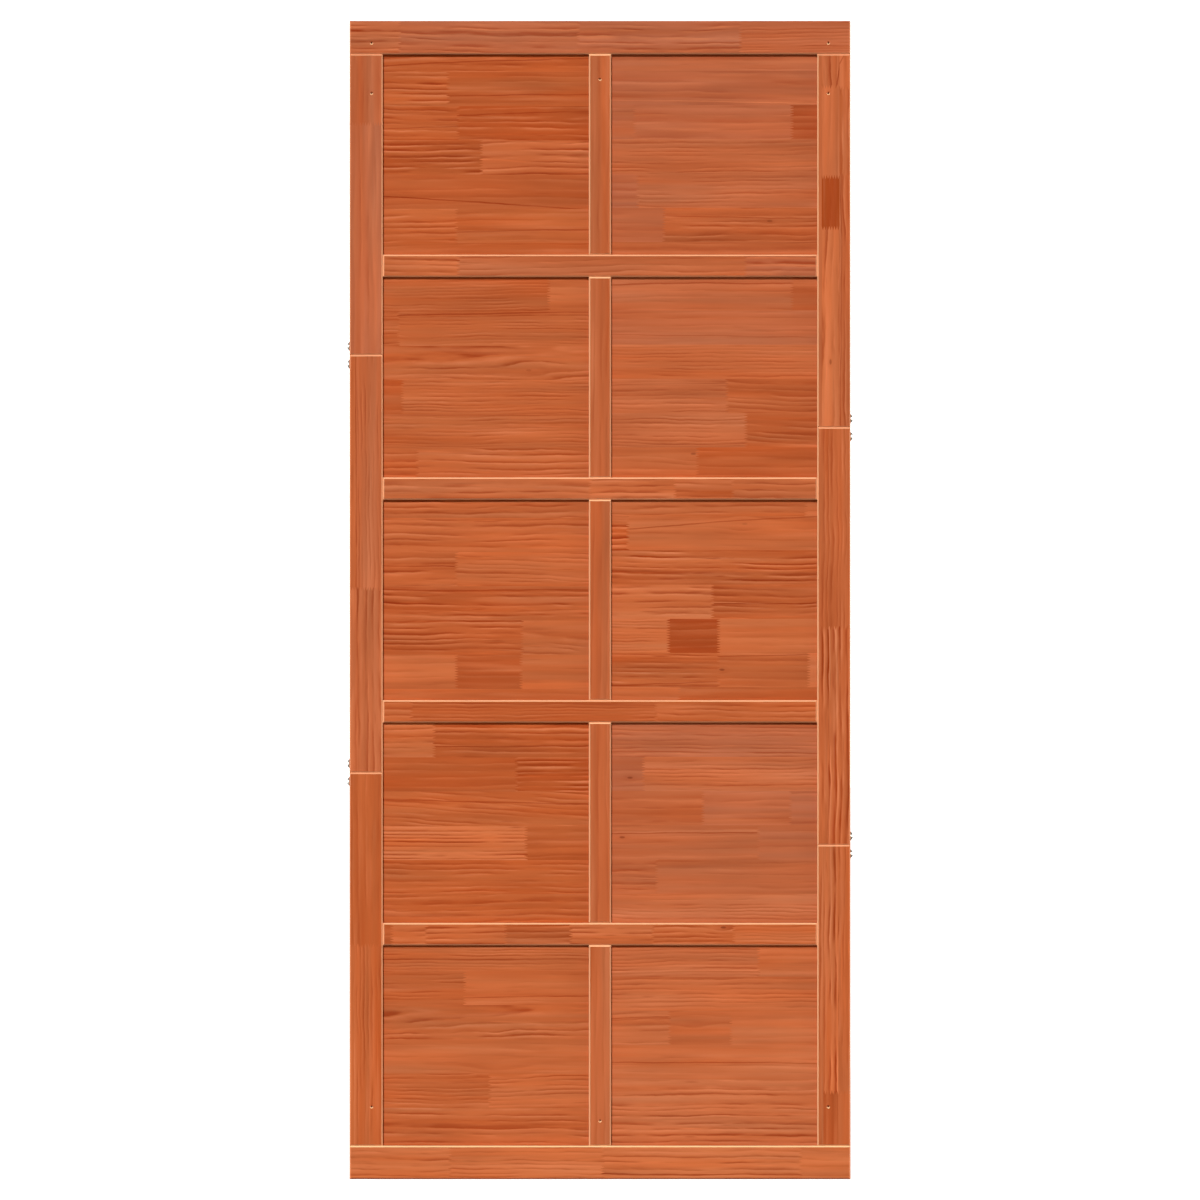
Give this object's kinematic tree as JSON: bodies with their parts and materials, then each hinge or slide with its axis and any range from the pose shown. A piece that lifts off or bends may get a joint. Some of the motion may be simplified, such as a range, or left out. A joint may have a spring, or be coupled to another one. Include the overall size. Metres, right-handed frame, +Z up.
{
  "type": "panelled barn door",
  "caption": "Sliding barn door leaf of stained pine: framed recessed panels, spliced stiles and a drilled top for strap hangers.",
  "frame": {"origin": "on the front face of the top rail, at the middle of its length and height", "axes": "+X to the right seen from the front, +Z up, the front faces -Y; the leaf is 35 mm thick from Y = 0 to Y = +35 mm"},
  "size_m": [0.9094, 0.035, 2.0805],
  "materials": {
    "rail_pine": "satin reddish pine stain, grain along the rail",
    "stile_pine": "satin reddish pine stain, grain upright",
    "panel_pine": "satin reddish pine stain, finger-jointed staves",
    "bright_steel": "bright zinc"
  },
  "bodies": {
    "root": {"top_rail": "rail_pine", "bottom_rail": "rail_pine", "left_stile_upper": "stile_pine", "left_stile_middle": "stile_pine", "left_stile_lower": "stile_pine", "right_stile_upper": "stile_pine", "right_stile_middle": "stile_pine", "right_stile_lower": "stile_pine", "cross_rail_1": "rail_pine", "cross_rail_2": "rail_pine", "cross_rail_3": "rail_pine", "cross_rail_4": "rail_pine", "mullion_1": "stile_pine", "mullion_2": "stile_pine", "mullion_3": "stile_pine", "mullion_4": "stile_pine", "mullion_5": "stile_pine", "panel_left_1": "panel_pine", "panel_left_2": "panel_pine", "panel_left_3": "panel_pine", "panel_left_4": "panel_pine", "panel_left_5": "panel_pine", "panel_right_1": "panel_pine", "panel_right_2": "panel_pine", "panel_right_3": "panel_pine", "panel_right_4": "panel_pine", "panel_right_5": "panel_pine", "left_upper_splice_bolts": "bright_steel", "left_lower_splice_bolts": "bright_steel", "right_upper_splice_bolts": "bright_steel", "right_lower_splice_bolts": "bright_steel", "left_edge_screws": "bright_steel", "right_edge_screws": "bright_steel", "top_edge_screws": "bright_steel"}
  },
  "joints": []
}
